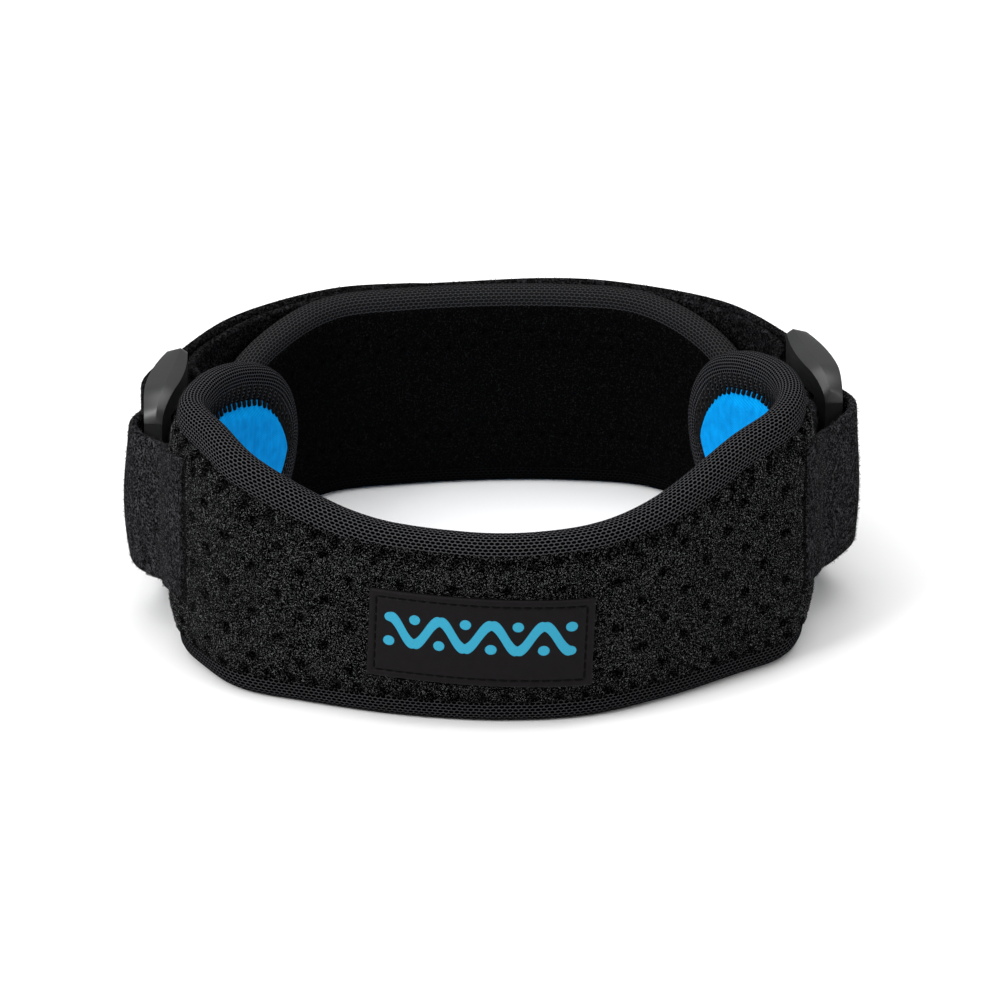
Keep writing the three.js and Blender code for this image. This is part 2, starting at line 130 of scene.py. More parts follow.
class PlanLine:
    """A smooth line in plan, on which cloth or webbing stands on edge."""

    def __init__(self, points, outward):
        ends = np.array(points, float)
        knots = np.vstack([2 * ends[0] - ends[1], ends, 2 * ends[-1] - ends[-2]])
        spans = []
        for a, b, c, d in zip(knots, knots[1:], knots[2:], knots[3:]):
            before, here, after = [math.sqrt(np.linalg.norm(q - p)) for p, q in ((a, b), (b, c), (c, d))]
            leave = ((b - a) / before - (c - a) / (before + here) + (c - b) / here) * here
            reach = ((c - b) / here - (d - b) / (here + after) + (d - c) / after) * here
            t = np.linspace(0, 1, 80, endpoint=False)[:, None]
            spans.append(b + leave * t + (3 * c - 3 * b - 2 * leave - reach) * t ** 2
                         + (2 * b - 2 * c + leave + reach) * t ** 3)
        self.spots = np.vstack(spans + [ends[-1:]])
        self.runs = np.concatenate([[0], np.cumsum(np.linalg.norm(np.diff(self.spots, axis=0), axis=1))])
        self.length = self.runs[-1]
        heading = np.gradient(self.spots, self.runs, axis=0)
        heading /= np.linalg.norm(heading, axis=1)[:, None]
        self.normals = outward * np.stack([heading[:, 1], -heading[:, 0]], axis=1)

    def spot(self, run, out=0.0):
        """Plan places in millimetres, at runs along the line and distances out from it."""
        x = np.interp(run, self.runs, self.spots[:, 0]) + np.interp(run, self.runs, self.normals[:, 0]) * out
        y = np.interp(run, self.runs, self.spots[:, 1]) + np.interp(run, self.runs, self.normals[:, 1]) * out
        return x, y

    def place(self, run, height, out):
        """Points in metres, in the frame of the solids."""
        run, height, out = np.broadcast_arrays(run, height, out)
        x, y = self.spot(run, out)
        return np.stack([x + MIDDLE_X, y + MIDDLE_Y, height], axis=-1) * MM


def plan(rows, width):
    return [(across * width / 2, (back - 0.5) * RING_DEPTH) for across, back in rows]


class Pad:
    """A long padded band with rounded ends, described on its developed surface."""

    def __init__(self, line, height, rounding, lower_rounding, notch=None):
        self.line = line
        self.height = height
        self.rounding = rounding
        self.lower_rounding = lower_rounding
        self.notch = notch
        self.edge, self.inward, self.edge_runs = self.outline()

    def crest(self, run):
        """Height of the upper edge before the ends are rounded."""
        if self.notch is None:
            return np.full_like(run, self.height)
        along = np.abs(run - self.line.length / 2) / (self.line.length / 2)
        table = np.array(self.notch)
        near = [np.interp(np.abs(along + step), table[:, 0], table[:, 1]) for step in np.linspace(-0.05, 0.05, 9)]
        return self.height * np.mean(near, axis=0)

    def limits(self, run, inset=0.0):
        """Heights of the lower and the upper edge at runs along the pad, drawn in by an inset."""
        middle = self.height / 2
        from_end = np.minimum(run, self.line.length - run) - inset

        def fullness(rounding):
            share = np.clip(from_end / (rounding - inset), 0, 1)
            return np.sqrt(np.maximum(0, 1 - (1 - share) ** 2))

        top = middle + (self.crest(run) - inset - middle) * fullness(self.rounding)
        bottom = middle - (middle - inset) * fullness(self.lower_rounding)
        return bottom, top

    def outline(self):
        """The closed edge at even steps: points, directions into the pad, and distances along it."""
        turn = np.linspace(0, math.pi / 2, 60)
        end = self.rounding * (1 - np.cos(turn))
        flat = np.linspace(self.rounding, self.line.length - self.rounding, 200)[1:-1]
        runs = np.concatenate([end, flat, (self.line.length - end)[::-1]])
        bottom, top = self.limits(runs)
        loop = np.concatenate([np.stack([runs, top], 1), np.stack([runs, bottom], 1)[::-1][1:]])
        steps = np.concatenate([[0], np.cumsum(np.linalg.norm(np.diff(loop, axis=0), axis=1))])
        count = 1400
        even = np.linspace(0, steps[-1], count, endpoint=False)
        edge = np.stack([np.interp(even, steps, loop[:, 0]), np.interp(even, steps, loop[:, 1])], 1)
        heading = np.roll(edge, -3, axis=0) - np.roll(edge, 3, axis=0)
        heading /= np.linalg.norm(heading, axis=1)[:, None]
        return edge, np.stack([heading[:, 1], -heading[:, 0]], 1), np.append(even, steps[-1])

    def inset(self, run, height):
        """Distance in from the nearest edge."""
        spots = np.stack([np.ravel(run), np.ravel(height)], 1)
        edge = self.edge[::2]
        nearest = [np.min(np.hypot(part[:, :1] - edge[:, 0], part[:, 1:] - edge[:, 1]), axis=1)
                   for part in np.array_split(spots, max(1, len(spots) // 4000))]
        return np.concatenate(nearest).reshape(np.shape(run))

    def widening(self, along):
        """How much wider the tape's inner side is, at distances along the edge."""
        run, height = self.on_edge(along, 0.0)
        from_end = np.minimum(run, self.line.length - run)
        return END_WIDENING * smooth(16, 3, from_end)

    def on_edge(self, along, inset):
        """Run and height of points at distances along the edge and in from it."""
        wrapped = np.mod(along, self.edge_runs[-1])
        closed = np.vstack([self.edge, self.edge[:1]])
        inward = np.vstack([self.inward, self.inward[:1]])
        run = np.interp(wrapped, self.edge_runs, closed[:, 0])
        height = np.interp(wrapped, self.edge_runs, closed[:, 1])
        run = run + np.interp(wrapped, self.edge_runs, inward[:, 0]) * inset
        return run, height + np.interp(wrapped, self.edge_runs, inward[:, 1]) * inset


front_line = PlanLine(plan(FRONT_PLAN, FRONT_WIDTH), 1)
back_line = PlanLine(plan(BACK_PLAN, BACK_WIDTH), -1)
front = Pad(front_line, FRONT_HEIGHT, FRONT_ROUNDING, FRONT_LOWER_ROUNDING, NOTCH)
back = Pad(back_line, BACK_HEIGHT, BACK_ROUNDING, BACK_LOWER_ROUNDING)


# Making meshes

def deselect():
    bpy.ops.object.select_all(action="DESELECT")


def only(piece):
    deselect()
    piece.select_set(True)
    bpy.context.view_layer.objects.active = piece


def take_new(name):
    piece = bpy.context.object
    piece.name = name
    piece.data.name = name
    return piece


def set_points(piece, points):
    piece.data.vertices.foreach_set("co", np.ascontiguousarray(points, dtype=np.float32).ravel())
    piece.data.update()


def face_outward(piece):
    """Turns a closed piece's faces so that they point outwards."""
    only(piece)
    bpy.ops.object.mode_set(mode="EDIT")
    bpy.ops.mesh.select_all(action="SELECT")
    bpy.ops.mesh.normals_make_consistent(inside=False)
    bpy.ops.object.mode_set(mode="OBJECT")
    bpy.ops.object.shade_smooth()


def pattern_map(piece, values):
    """Gives a piece a UV map from a value pair for each corner of each face."""
    layers = piece.data.uv_layers
    while layers:
        layers.remove(layers[0])
    layer = layers.new(name="pattern")
    layer.data.foreach_set("uv", np.ascontiguousarray(values, dtype=np.float32).ravel())


def mark_hollows(piece, values):
    """Stores how deep in a hole or seam each point of a piece lies, from 0 to 1."""
    layer = piece.data.attributes.new("hollow", "FLOAT", "POINT")
    layer.data.foreach_set("value", np.ascontiguousarray(np.clip(values, 0, 1), dtype=np.float32))


def corner_points(piece):
    index = np.empty(len(piece.data.loops), dtype=np.int32)
    piece.data.loops.foreach_get("vertex_index", index)
    return index


def thick_sheet(name, along, across, shape):
    """A closed sheet: a grid given thickness, whose two faces are then laid by shape. shape takes
    shares along and across and gives outer points, inner points and pattern places."""
    deselect()
    bpy.ops.mesh.primitive_grid_add(x_subdivisions=along, y_subdivisions=across, size=2)
    piece = take_new(name)
    solid = piece.modifiers.new("thickness", "SOLIDIFY")
    solid.thickness = 0.01
    bpy.ops.object.modifier_apply(modifier=solid.name)
    spots = np.empty(len(piece.data.vertices) * 3, dtype=np.float32)
    piece.data.vertices.foreach_get("co", spots)
    spots = spots.reshape(-1, 3)
    half = len(spots) // 2
    s = (spots[:half, 0].astype(float) + 1) / 2
    t = (spots[:half, 1].astype(float) + 1) / 2
    outer, inner, places, *hollows = shape(s, t)
    set_points(piece, np.vstack([outer, inner]))
    for values in hollows:
        mark_hollows(piece, np.concatenate([values, values]))
    pattern_map(piece, np.vstack([places, places])[corner_points(piece)])
    face_outward(piece)
    return piece


def folded_ring(name, along, around, shape, run_places, round_places):
    """A closed ring of a constant section. shape takes shares along and around."""
    index = np.arange(along * around)
    i, j = index // around, index % around
    corner_i = np.stack([i, i, i + 1, i + 1], 1)
    corner_j = np.stack([j, j + 1, j + 1, j], 1)
    faces = (corner_i % along) * around + corner_j % around
    piece = mesh_of(name, shape(i, j), faces)
    pattern_map(piece, np.stack([run_places[corner_i], round_places[corner_j]], axis=-1).reshape(-1, 2))
    face_outward(piece)
    return piece


def mesh_of(name, points, faces):
    """A piece from points in metres and faces that all have the same number of corners."""
    faces = np.asarray(faces)
    mesh = bpy.data.meshes.new(name)
    mesh.vertices.add(len(points))
    mesh.vertices.foreach_set("co", np.asarray(points, dtype=np.float32).ravel())
    mesh.loops.add(faces.size)
    mesh.loops.foreach_set("vertex_index", faces.astype(np.int32).ravel())
    mesh.polygons.add(len(faces))
    mesh.polygons.foreach_set("loop_start", np.arange(0, faces.size, faces.shape[1], dtype=np.int32))
    mesh.update(calc_edges=True)
    mesh.validate()
    piece = bpy.data.objects.new(name, mesh)
    bpy.context.scene.collection.objects.link(piece)
    only(piece)
    bpy.ops.object.shade_smooth()
    return piece


def many(name, points, faces):
    """One mesh of small closed bodies that all have the same faces."""
    bodies, corners = points.shape[0], points.shape[1]
    all_faces = (np.asarray(faces)[None] + np.arange(bodies)[:, None, None] * corners).reshape(-1, len(faces[0]))
    return mesh_of(name, points.reshape(-1, 3), all_faces)


def crossing(direction, normal):
    side = np.cross(direction, normal)
    return side / np.maximum(np.linalg.norm(side, axis=1), 1e-9)[:, None]


def threads(name, starts, ends, normals, radius, lift):
    """Short sewn threads: six-sided rods that arch from start to end."""
    direction = ends - starts
    direction /= np.linalg.norm(direction, axis=1)[:, None]
    side = crossing(direction, normals)
    up = np.cross(side, direction)
    rings = []
    shares = [0, 0.12, 0.5, 0.88, 1]
    widths = [0.35, 1, 1, 1, 0.35]
    for share, width in zip(shares, widths):
        middle = starts + (ends - starts) * share + up * (lift * math.sin(math.pi * share))
        for step in range(6):
            angle = step * math.pi / 3
            rings.append(middle + (side * math.cos(angle) + up * math.sin(angle)) * radius * width)
    points = np.stack(rings, axis=1)
    faces = []
    for ring in range(len(shares) - 1):
        for step in range(6):
            a, b = ring * 6 + step, ring * 6 + (step + 1) % 6
            faces.append([a, b, b + 6, a + 6])
    last = 6 * (len(shares) - 1)
    faces += [[3, 2, 1, 0], [5, 4, 3, 0]]
    faces += [[last, last + 1, last + 2, last + 3], [last, last + 3, last + 4, last + 5]]
    return many(name, points, faces)


def pile(name, roots, normals, seed, length, radius, lean):
    """Loose fibres of a brushed surface: thin spindles that lie over to random sides."""
    chance = np.random.default_rng(seed)
    count = len(roots)
    loose = chance.normal(size=(count, 3))
    along = loose - normals * np.sum(loose * normals, axis=1)[:, None]
    along /= np.linalg.norm(along, axis=1)[:, None]
    tilt = chance.uniform(*lean, count)[:, None]
    direction = along * np.cos(tilt) + normals * np.sin(tilt)
    long = (length * chance.uniform(0.6, 1.3, count))[:, None]
    start = roots - normals * radius
    side = crossing(direction, normals)
    up = np.cross(side, direction)
    middle = start + direction * long * 0.5
    corners = [start]
    for step in range(3):
        angle = step * 2 * math.pi / 3
        corners.append(middle + (side * math.cos(angle) + up * math.sin(angle)) * radius)
    corners.append(start + direction * long)
    faces = [[0, 2, 1], [0, 3, 2], [0, 1, 3], [4, 1, 2], [4, 2, 3], [4, 3, 1]]
    return many(name, np.stack(corners, axis=1), faces)


def finish_piece(piece, *nodes, slot, material):
    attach(piece, "root")
    if nodes:
        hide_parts(*nodes)
    piece.data.materials.clear()
    piece.data.materials.append(material)
    return piece


# Materials

class Value:
    """A number over a surface. An expression on values adds its Math nodes."""

    def __init__(self, finish, socket):
        self.finish = finish
        self.socket = socket

    def math(self, operation, first, second=None, third=None):
        return self.finish.node("ShaderNodeMath", {"operation": operation},
                                {k: v for k, v in enumerate((first, second, third)) if v is not None})

    def __add__(self, other):
        return self.math("ADD", self, other)

    def __sub__(self, other):
        return self.math("SUBTRACT", self, other)

    def __mul__(self, other):
        return self.math("MULTIPLY", self, other)

    def __truediv__(self, other):
        return self.math("DIVIDE", self, other)

    def __radd__(self, other):
        return self.math("ADD", other, self)

    def __rsub__(self, other):
        return self.math("SUBTRACT", other, self)

    def __rmul__(self, other):
        return self.math("MULTIPLY", other, self)

    def __rtruediv__(self, other):
        return self.math("DIVIDE", other, self)

    def call(self, operation, *others):
        return self.math(operation, self, *others)

    def step(self, low, high):
        """Rises smoothly from 0 at low to 1 at high."""
        return self.finish.node("ShaderNodeMapRange", {"interpolation_type": "SMOOTHSTEP"},
                                {"Value": self, "From Min": low, "From Max": high})


class Finish:
    """A material with one principled surface."""

    def __init__(self, name, **constants):
        self.material = bpy.data.materials.new(name)
        self.material.use_nodes = True
        self.tree = self.material.node_tree
        self.surface = self.tree.nodes["Principled BSDF"]
        self.set(**constants)

    def node(self, kind, settings=None, values=None, output=0):
        made = self.tree.nodes.new(kind)
        for key, setting in (settings or {}).items():
            setattr(made, key, setting)
        for key, value in (values or {}).items():
            self.plug(made.inputs[key], value)
        return Value(self, made.outputs[output])

    def plug(self, socket, value):
        if isinstance(value, Value):
            self.tree.links.new(value.socket, socket)
        else:
            socket.default_value = value

    def set(self, **values):
        for key, value in values.items():
            self.plug(self.surface.inputs[key.replace("_", " ")], value)

    def place(self):
        """The pattern's two values and its place as a vector, in millimetres on the cloth."""
        whole = self.node("ShaderNodeUVMap", {"uv_map": "pattern"})
        apart = self.node("ShaderNodeSeparateXYZ", None, {0: whole})
        return apart, Value(self, apart.socket.node.outputs[1]), whole

    def body(self):
        """Place in the object, in metres."""
        return self.node("ShaderNodeTexCoord", output="Object")

    def height(self):
        """Height in the object, in metres."""
        return Value(self, self.node("ShaderNodeSeparateXYZ", None, {0: self.body()}).socket.node.outputs[2])

    def noise(self, vector, scale, detail=2.0, roughness=0.55, stretch=None):
        if stretch:
            vector = self.node("ShaderNodeMapping", None, {"Vector": vector, "Scale": stretch})
        return self.node("ShaderNodeTexNoise", None,
                         {"Vector": vector, "Scale": scale, "Detail": detail, "Roughness": roughness})

    def cells(self, vector, scale, feature="F1"):
        return self.node("ShaderNodeTexVoronoi", {"feature": feature}, {"Vector": vector, "Scale": scale})

    def mix(self, share, low, high):
        return self.node("ShaderNodeMix", {"data_type": "RGBA"}, {0: share, 6: low, 7: high}, 2)

    def relief(self, height, depth, strength=1.0, under=None):
        values = {"Strength": strength, "Distance": depth, "Height": height}
        if under is not None:
            values["Normal"] = under
        return self.node("ShaderNodeBump", None, values)


def grey(level, tint=(1, 1, 1)):
    return tuple(level * part for part in tint) + (1,)


def pile_finish(name, dark, light, grain):
    """Brushed loop pile: fine bright specks over dark gaps, partly its own fibre grain and partly painted glints,
    with soft patches, and painted shade darkening its dents, seam puckers and creases.
    """
    finish = Finish(name, Metallic=0.0, Specular_IOR_Level=0.0)
    hollow = Value(finish, finish.tree.nodes.new("ShaderNodeAttribute").outputs["Fac"])
    hollow.socket.node.attribute_name = "hollow"
    here = finish.body()
    fine = finish.noise(here, grain, 3.0, 0.7)
    loops = finish.cells(here, grain * 1.1)
    patches = finish.noise(here, 420, 2.0)
    # Painted glints: the bright specks are partly the pile's own grain and partly painted light that the fibres
    # would catch.
    grain_and_painted_glints = fine.step(0.525, 0.625) * loops.step(0.85, 0.35)
    # Painted shade: the colour darkens in the dents, seam puckers and creases, by how deep they are.
    level = grain_and_painted_glints * (0.7 + patches * 0.6) * (1 - hollow * 0.75)
    finish.set(Base_Color=finish.mix(level.call("MINIMUM", 1.0), grey(dark), grey(light, (1, 1, 1.02))))
    height = fine * 0.6 + loops * 0.4
    finish.set(Normal=finish.relief(height, 0.00035, 0.9), Roughness=0.85 - grain_and_painted_glints * 0.3)
    return finish.material


def mesh_finish(name, dark, light, painted_shade_level):
    """Knitted mesh tape: rows of small oval holes, half a hole apart from row to row. Its lower
    stretch is darkened towards black as painted shade, keeping the share of brightness that its last argument
    gives."""
    finish = Finish(name, Metallic=0.0, Specular_IOR_Level=0.0)
    run, across, whole = finish.place()
    wander = finish.noise(whole, 0.6, 1.0) - 0.5
    row = across / NET_ROW + wander * 0.3
    shifted = run / NET_PITCH + row.call("FLOOR") * 0.5 + wander * 0.2
    u = (shifted.call("FRACT") - 0.5) * 2.0
    v = (row.call("FRACT") - 0.5) * 2.0
    reach = ((u * u) * 1.25 + (v * v) * 1.25).call("SQRT")
    thread = reach.step(0.78, 1.16)
    twist = finish.noise(whole, 6.0, 2.0)
    net = finish.mix(thread * (0.4 + twist * 0.8), grey(dark), grey(light, (0.98, 0.98, 1.06)))
    # Painted shade: below about 7 to 12 mm height the tape's colour fades towards near black.
    painted_shade_mix = painted_shade_level + finish.height().step(0.007, 0.012) * (1 - painted_shade_level)
    finish.set(Base_Color=finish.mix(painted_shade_mix, grey(0.0004), net))
    finish.set(Normal=finish.relief(thread + twist * 0.25, 0.0003, 0.9), Roughness=0.85 - thread * 0.35)
    return finish.material


def knit_finish():
    """Bright blue fine knit with slight unevenness."""
    finish = Finish("blue_knit", Metallic=0.0, Roughness=0.8, Specular_IOR_Level=0.03)
    run, height, whole = finish.place()
    rib = (run * (2 * math.pi / 0.55)).call("SINE")
    course = (height * (2 * math.pi / 0.42) + rib * 0.8).call("SINE")
    cloud = finish.noise(whole, 0.45, 3.0)
    thread = rib * 0.5 + course * 0.5
    shade = (cloud * 0.9 + thread * 0.16 + 0.05).call("MAXIMUM", 0.0).call("MINIMUM", 1.0)
    finish.set(Base_Color=finish.mix(shade, (0.0, 0.155, 0.49, 1), (0.0, 0.415, 0.95, 1)))
    finish.set(Normal=finish.relief(thread + cloud, 0.00012, 0.7))
    return finish.material


def webbing_finish(name, light):
    """Brushed webbing: soft dark fibres in blurred tufts."""
    finish = Finish(name, Metallic=0.0, Specular_IOR_Level=0.0)
    here = finish.body()
    fine = finish.noise(here, 2600, 3.0, 0.7)
    tufts = finish.noise(here, 900, 2.0)
    level = fine.step(0.42, 0.66) * (0.4 + tufts.step(0.34, 0.66) * 0.6)
    finish.set(Base_Color=finish.mix(level.call("MINIMUM", 1.0), grey(0.0012), grey(light, (1, 0.98, 1.08))))
    finish.set(Normal=finish.relief(fine * 0.6 + tufts, 0.0004, 0.8), Roughness=0.85 - level * 0.2)
    return finish.material


def label_finish():
    """Smooth dark patch with a plain cyan wave and dots printed on it."""
    finish = Finish("label_cloth", Metallic=0.0, Specular_IOR_Level=0.06)
    x, y, whole = finish.place()
    raised = y - 1.1
    period = 8.4
    end = period * 1.75
    wave = (x * (2 * math.pi / period)).call("SINE") * 2.3
    line = (raised - wave).call("ABSOLUTE")
    lean = (x * (2 * math.pi / period)).call("COSINE").call("ABSOLUTE")
    on_line = (line / (1 + lean * 0.75)).step(0.92, 0.8) * x.call("ABSOLUTE").step(end + 0.06, end)
    past_left, past_right = x + end, x - end
    left_cap = ((past_left * past_left) + (raised - 2.3) * (raised - 2.3)).call("SQRT").step(0.92, 0.8)
    right_cap = ((past_right * past_right) + (raised + 2.3) * (raised + 2.3)).call("SQRT").step(0.92, 0.8)
    turn = (x / period + 0.75).call("FRACT")
    crest = (turn - 0.5).call("ABSOLUTE") * period
    upper = ((crest * crest) + (raised - 2.2) * (raised - 2.2)).call("SQRT").step(0.98, 0.86)
    trough = (period / 2 - crest)
    lower = ((trough * trough) + (raised + 2.2) * (raised + 2.2)).call("SQRT").step(0.98, 0.86)
    dots = (upper + lower) * x.call("ABSOLUTE").step(end + 1.06, end + 1.0)
    print_mask = (on_line + left_cap + right_cap + dots).call("MINIMUM", 1.0)
    weave = (x * (2 * math.pi / 0.32)).call("SINE") * (y * (2 * math.pi / 0.26)).call("SINE")
    cloud = finish.noise(whole, 0.5, 2.0)
    cloth = finish.mix(cloud, grey(0.0032, (1.18, 1, 1.14)), grey(0.0054, (1.18, 1, 1.14)))
    finish.set(Base_Color=finish.mix(print_mask, cloth, (0.028, 0.25, 0.375, 1)))
    finish.set(Roughness=0.5 - print_mask * 0.08 + weave * 0.03)
    finish.set(Normal=finish.relief(weave * 0.1 * (1 - print_mask) + print_mask, 0.00012, 0.8))
    return finish.material


def plastic_finish():
    """Moulded dark grey plastic with a very fine texture and a few rubbed spots."""
    finish = Finish("buckle_plastic", Metallic=0.0, Specular_IOR_Level=0.5)
    here = finish.body()
    grain = finish.noise(here, 5200, 2.0)
    rubbed = finish.noise(here, 160, 3.0)
    finish.set(Base_Color=finish.mix(rubbed, grey(0.0115, (0.97, 0.99, 1.04)), grey(0.017, (0.97, 0.99, 1.04))))
    finish.set(Roughness=0.31 + rubbed * 0.14, Normal=finish.relief(grain, 0.00003, 0.5))
    return finish.material


def thread_finish(name, colour):
    """Sewing thread with a fine twist."""
    finish = Finish(name, Metallic=0.0, Roughness=0.8, Specular_IOR_Level=0.03)
    here = finish.body()
    twist = finish.noise(here, 4200, 2.0)
    finish.set(Base_Color=finish.mix(twist, grey(colour * 0.5), grey(colour * 1.5)))
    finish.set(Normal=finish.relief(twist, 0.0001, 0.6))
    return finish.material


def fibre_finish(name, dark, light):
    """Loose shiny fibres of differing brightness; the light colour that some of them get is a painted glint."""
    finish = Finish(name, Metallic=0.0, Roughness=0.6, Specular_IOR_Level=0.06)
    shade = finish.noise(finish.body(), 3400, 1.0)
    # Painted glints: some fibres get a light colour that stands in for the light they catch.
    finish.set(Base_Color=finish.mix(shade.step(0.45, 0.68), grey(dark), grey(light, (0.97, 1, 1.02))))
    return finish.material


PILE = pile_finish("pile_cloth", 0.0001, 0.074, 3900)
# A darker copy of the pile cloth for the back pad: painted shade.
SHADED_BACK_PILE = pile_finish("shaded_back_pile_cloth", 0.0015, 0.009, 3000)
MESH = mesh_finish("mesh_tape", 0.0003, 0.07, 0.7)
# A darker copy of the mesh tape for the back pad: painted shade.
SHADED_BACK_MESH = mesh_finish("shaded_back_mesh_tape", 0.007, 0.044, 0.15)
KNIT = knit_finish()
WEBBING = webbing_finish("strap_webbing", 0.062)
# A darker copy of the strap webbing for the back straps: painted shade.
SHADED_BACK_WEBBING = webbing_finish("shaded_back_strap_webbing", 0.026)
LABEL = label_finish()
PLASTIC = plastic_finish()
DARK_THREAD = thread_finish("dark_thread", 0.007)
LABEL_THREAD = thread_finish("label_thread", 0.003)
FIBRE = fibre_finish("pile_fibre", 0.003, 0.26)
# A darker copy of the pile fibres for the back pad: painted shade.
SHADED_BACK_FIBRE = fibre_finish("shaded_back_pile_fibre", 0.002, 0.011)
SOFT_FIBRE = fibre_finish("webbing_fibre", 0.006, 0.1)
# A darker copy of the webbing fibres for the back straps: painted shade.
SHADED_BACK_SOFT_FIBRE = fibre_finish("shaded_back_webbing_fibre", 0.003, 0.035)


# Camera, light and floor

def add_camera():
    camera = bpy.data.cameras.new("camera")
    camera.lens = 403.2
    camera.sensor_width = 36
    camera.clip_start = 0.05
    camera.clip_end = 20
    holder = bpy.data.objects.new("camera", camera)
    holder.location = (0.00125, -1.8403, 0.799)
    holder.rotation_euler = (math.radians(67), 0, 0)
    bpy.context.scene.collection.objects.link(holder)
    bpy.context.scene.camera = holder


def add_light(name, place, target, size, power):
    lamp = bpy.data.lights.new(name, "AREA")
    lamp.shape = "RECTANGLE"
    lamp.size, lamp.size_y = size
    lamp.energy = power
    holder = bpy.data.objects.new(name, lamp)
    holder.location = place
    heading = np.array(target, float) - np.array(place, float)
    flat = math.hypot(heading[0], heading[1])
    holder.rotation_euler = (math.atan2(flat, -heading[2]), 0, math.atan2(heading[1], heading[0]) - math.pi / 2)
    bpy.context.scene.collection.objects.link(holder)


def add_floor():
    deselect()
    bpy.ops.mesh.primitive_plane_add(size=6)
    floor = take_new("floor")
    finish = Finish("floor", Roughness=0.6)
    finish.set(Base_Color=(0.9, 0.9, 0.9, 1))
    floor.data.materials.append(finish.material)


def add_studio():
    scene = bpy.context.scene
    scene.view_settings.view_transform = "Standard"
    world = bpy.data.worlds.new("studio")
    world.use_nodes = True
    world.node_tree.nodes["Background"].inputs["Color"].default_value = (1, 1, 1, 1)
    world.node_tree.nodes["Background"].inputs["Strength"].default_value = 0.3
    scene.world = world
    add_light("key", (-0.75, -0.65, 0.75), (0, 0, 0.02), (0.6, 0.6), 13)
    add_light("fill", (0.75, -0.7, 0.65), (0, 0, 0.02), (0.5, 0.5), 3.1)
    add_light("top", (0, 0.15, 1.2), (0, 0, 0.02), (1.6, 1.4), 20)


add_camera()
add_floor()
add_studio()


# The pads

FRONT_HOLES = dict(pitch=8.9, row=4.3, depth=0.85, radius=0.95)


def dents(run, height, holes, shift=0.0):
    """Depth of the punched holes at places on a pad."""
    row = np.round((height - shift) / holes["row"])
    offset = np.where(np.mod(row, 2) == 0, 0.0, holes["pitch"] / 2)
    along = np.mod(run - offset + holes["pitch"] / 2, holes["pitch"]) - holes["pitch"] / 2
    away = np.hypot(along, height - shift - row * holes["row"])
    return holes["depth"] * smooth(holes["radius"], holes["radius"] * 0.35, away)


def seam_dents(run, inset, pitch, depth):
    """Slanting puckers where the cloth is sewn down beside the edge tape."""
    along = np.abs(np.mod(run + inset * 0.5, pitch) - pitch / 2)
    return depth * smooth(0.8, 0.1, along) * smooth(5.0, 5.6, inset) * smooth(9.4, 7.2, inset)


def front_face(run, height):
    """Distance of the front pad's outer face from its plan line, and how deep it dips there."""
    edge_inset = front.inset(run, height)
    from_middle = np.abs(run / front_line.length * 2 - 1)
    upper = smooth(FRONT_HEIGHT * 0.35, FRONT_HEIGHT * 0.5, height)
    inset = edge_inset + 1.3 + 2.0 * upper * smooth(0.42, 0.15, from_middle) + LOWER_COVER * (1 - upper)
    swell = smooth(5.2, 7.4, inset) * 0.72 + smooth(7.0, 12.5, inset) * 0.28
    out = HALF_BINDING - 0.9 + (FRONT_PUFF + 0.75) * swell
    holes = dents(run, height, FRONT_HOLES) * smooth(8.5, 9.5, inset)
    seam = seam_dents(run, inset, 4.2, 0.8)
    wave = 0.18 * np.sin(run * 0.23) * np.sin(height * 0.31 + run * 0.05)
    from_seam = np.abs(from_middle - SEAM_SHARE) * front_line.length / 2
    beside = smooth(STRAP_WIDTH / 2 + 1.5, STRAP_WIDTH / 2 - 0.5, np.abs(height - STRAP_LIFT - SEAM_RISE - STRAP_WIDTH / 2))
    crease = 0.4 * smooth(3.0, 0.4, from_seam) * beside
    return out + wave * smooth(7, 12, inset) - holes - seam - crease, holes + seam + crease * 0.5


def front_shape(s, t):
    end = 1.5
    turned = 0.5 - 0.5 * np.cos(np.clip(s, 0, 1) * math.pi)
    share = 0.75 * s + 0.25 * turned
    run = end + 0.001 + share * (front_line.length - 2 * end - 0.002)
    bottom, top = front.limits(run, end)
    height = bottom + (top - bottom) * t
    face, dips = front_face(run, height)
    outer = front_line.place(run, height, face)
    inner = front_line.place(run, height, np.full_like(run, -1.2))
    return outer, inner, np.stack([run, height], 1), dips / 0.7


front_pad = thick_sheet("front_pad_cloth", 460, 92, front_shape)
finish_piece(front_pad, "front_pad", slot="pile_cloth", material=PILE)


def back_shape(s, t):
    end = 1.5
    turned = 0.5 - 0.5 * np.cos(np.clip(s, 0, 1) * math.pi)
    share = 0.75 * s + 0.25 * turned
    run = end + 0.001 + share * (back_line.length - 2 * end - 0.002)
    bottom, top = back.limits(run, end)
    height = bottom + (top - bottom) * t
    inset = back.inset(run, height)

    def swell(covered):
        """How full the pad is, where its cloth covers some of the tape."""
        return smooth(5.2, 7.4, inset + covered) * 0.75 + smooth(7, 12, inset + covered) * 0.25

    holes = dents(run, height, dict(pitch=4.4, row=2.9, depth=0.6, radius=0.7), 1.2)
    near_edge = smooth(7.2, 7.8, inset) * smooth(13.2, 12.4, inset)
    inner_out = -(HALF_BINDING - 0.9 + (BACK_PUFF + 0.7) * swell(3.6)) + holes * near_edge
    outer_out = HALF_BINDING - 0.9 + (BACK_PUFF + 0.7) * swell(1.0) - holes * near_edge
    outer = back_line.place(run, height, outer_out)
    inner = back_line.place(run, height, inner_out)
    return outer, inner, np.stack([run, height], 1), holes * near_edge / 0.5


back_pad = thick_sheet("back_pad_cloth", 330, 72, back_shape)
finish_piece(back_pad, "back_pad", slot="pile_cloth", material=SHADED_BACK_PILE)


